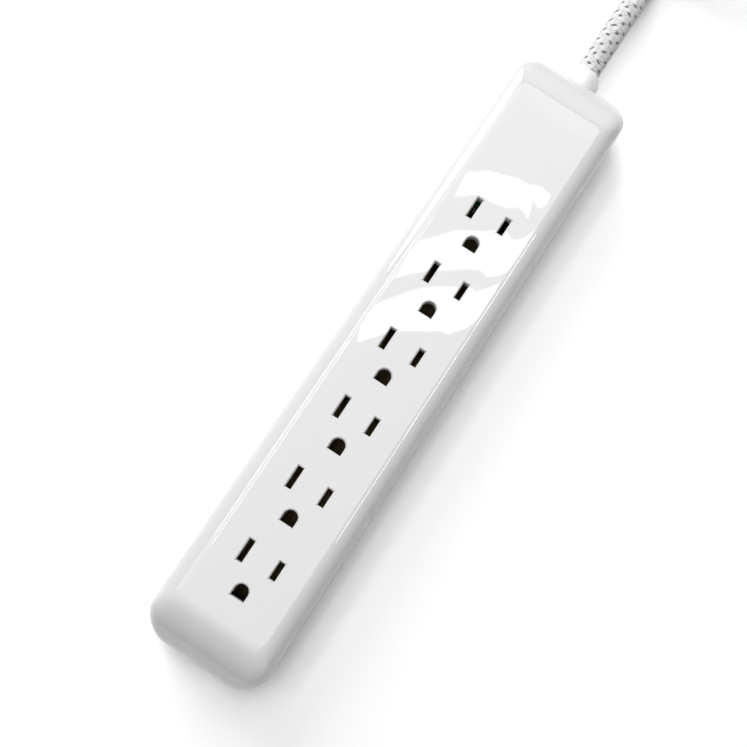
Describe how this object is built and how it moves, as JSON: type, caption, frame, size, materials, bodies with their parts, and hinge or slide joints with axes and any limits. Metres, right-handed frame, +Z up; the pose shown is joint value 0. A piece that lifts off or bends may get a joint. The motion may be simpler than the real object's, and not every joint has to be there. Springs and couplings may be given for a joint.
{
  "type": "power strip",
  "caption": "Slim white power strip: a row of grounded outlets in a rounded two-part housing, a braided cord with a moulded plug, and a push-to-reset breaker.",
  "frame": {"origin": "under the middle of the housing, on the surface it stands on", "axes": "+Y along the strip towards its cord, +Z up through the outlet face, +X across towards the hot slots"},
  "size_m": [0.0692, 0.6489, 0.0305],
  "materials": {
    "housing": "gloss white moulded plastic",
    "boot": "satin white flexible plastic",
    "braid": "braided white and grey yarn",
    "brass": "bright stamped",
    "steel": "zinc plated",
    "carrier": "natural grey plastic",
    "board": "green solder mask",
    "varistor": "blue dipped coating",
    "fuse": "plain metal case",
    "breaker": "black moulded plastic",
    "button": "white moulded plastic",
    "label": "blank silver-white label",
    "tie": "black coated tie",
    "wire_black": "insulation",
    "wire_white": "insulation",
    "wire_green": "insulation"
  },
  "bodies": {
    "strip": {"top_cover": "housing", "bottom_cover": "housing", "cord_boot": "boot", "plug_body": "boot", "cord_run": "braid", "cord_hank": "braid", "cord_tail": "braid", "cord_jacket_end": "braid", "hot_bus": "brass", "neutral_bus": "brass", "ground_bus": "brass", "breaker_tab_line": "brass", "breaker_tab_load": "brass", "plug_blade_hot": "brass", "plug_blade_neutral": "brass", "plug_ground_pin": "brass", "housing_screw_1": "steel", "housing_screw_2": "steel", "housing_screw_3": "steel", "housing_screw_4": "steel", "housing_screw_5": "steel", "housing_screw_6": "steel", "clamp_screw_1": "steel", "clamp_screw_2": "steel", "contact_carrier": "carrier", "cord_clamp": "carrier", "surge_board": "board", "varistor_1": "varistor", "varistor_2": "varistor", "varistor_3": "varistor", "thermal_fuse": "fuse", "breaker_body": "breaker", "rating_label": "label", "hank_tie": "tie", "wire_hot_in": "wire_black", "wire_hot_bus": "wire_black", "wire_neutral": "wire_white", "wire_ground": "wire_green"},
    "reset_button": {"reset_button": "button"}
  },
  "joints": [
    {"name": "reset_button_slide", "type": "slide", "parent": "strip", "child": "reset_button", "axis": [1, 0, 0], "range_m": [0, 0.003]}
  ]
}
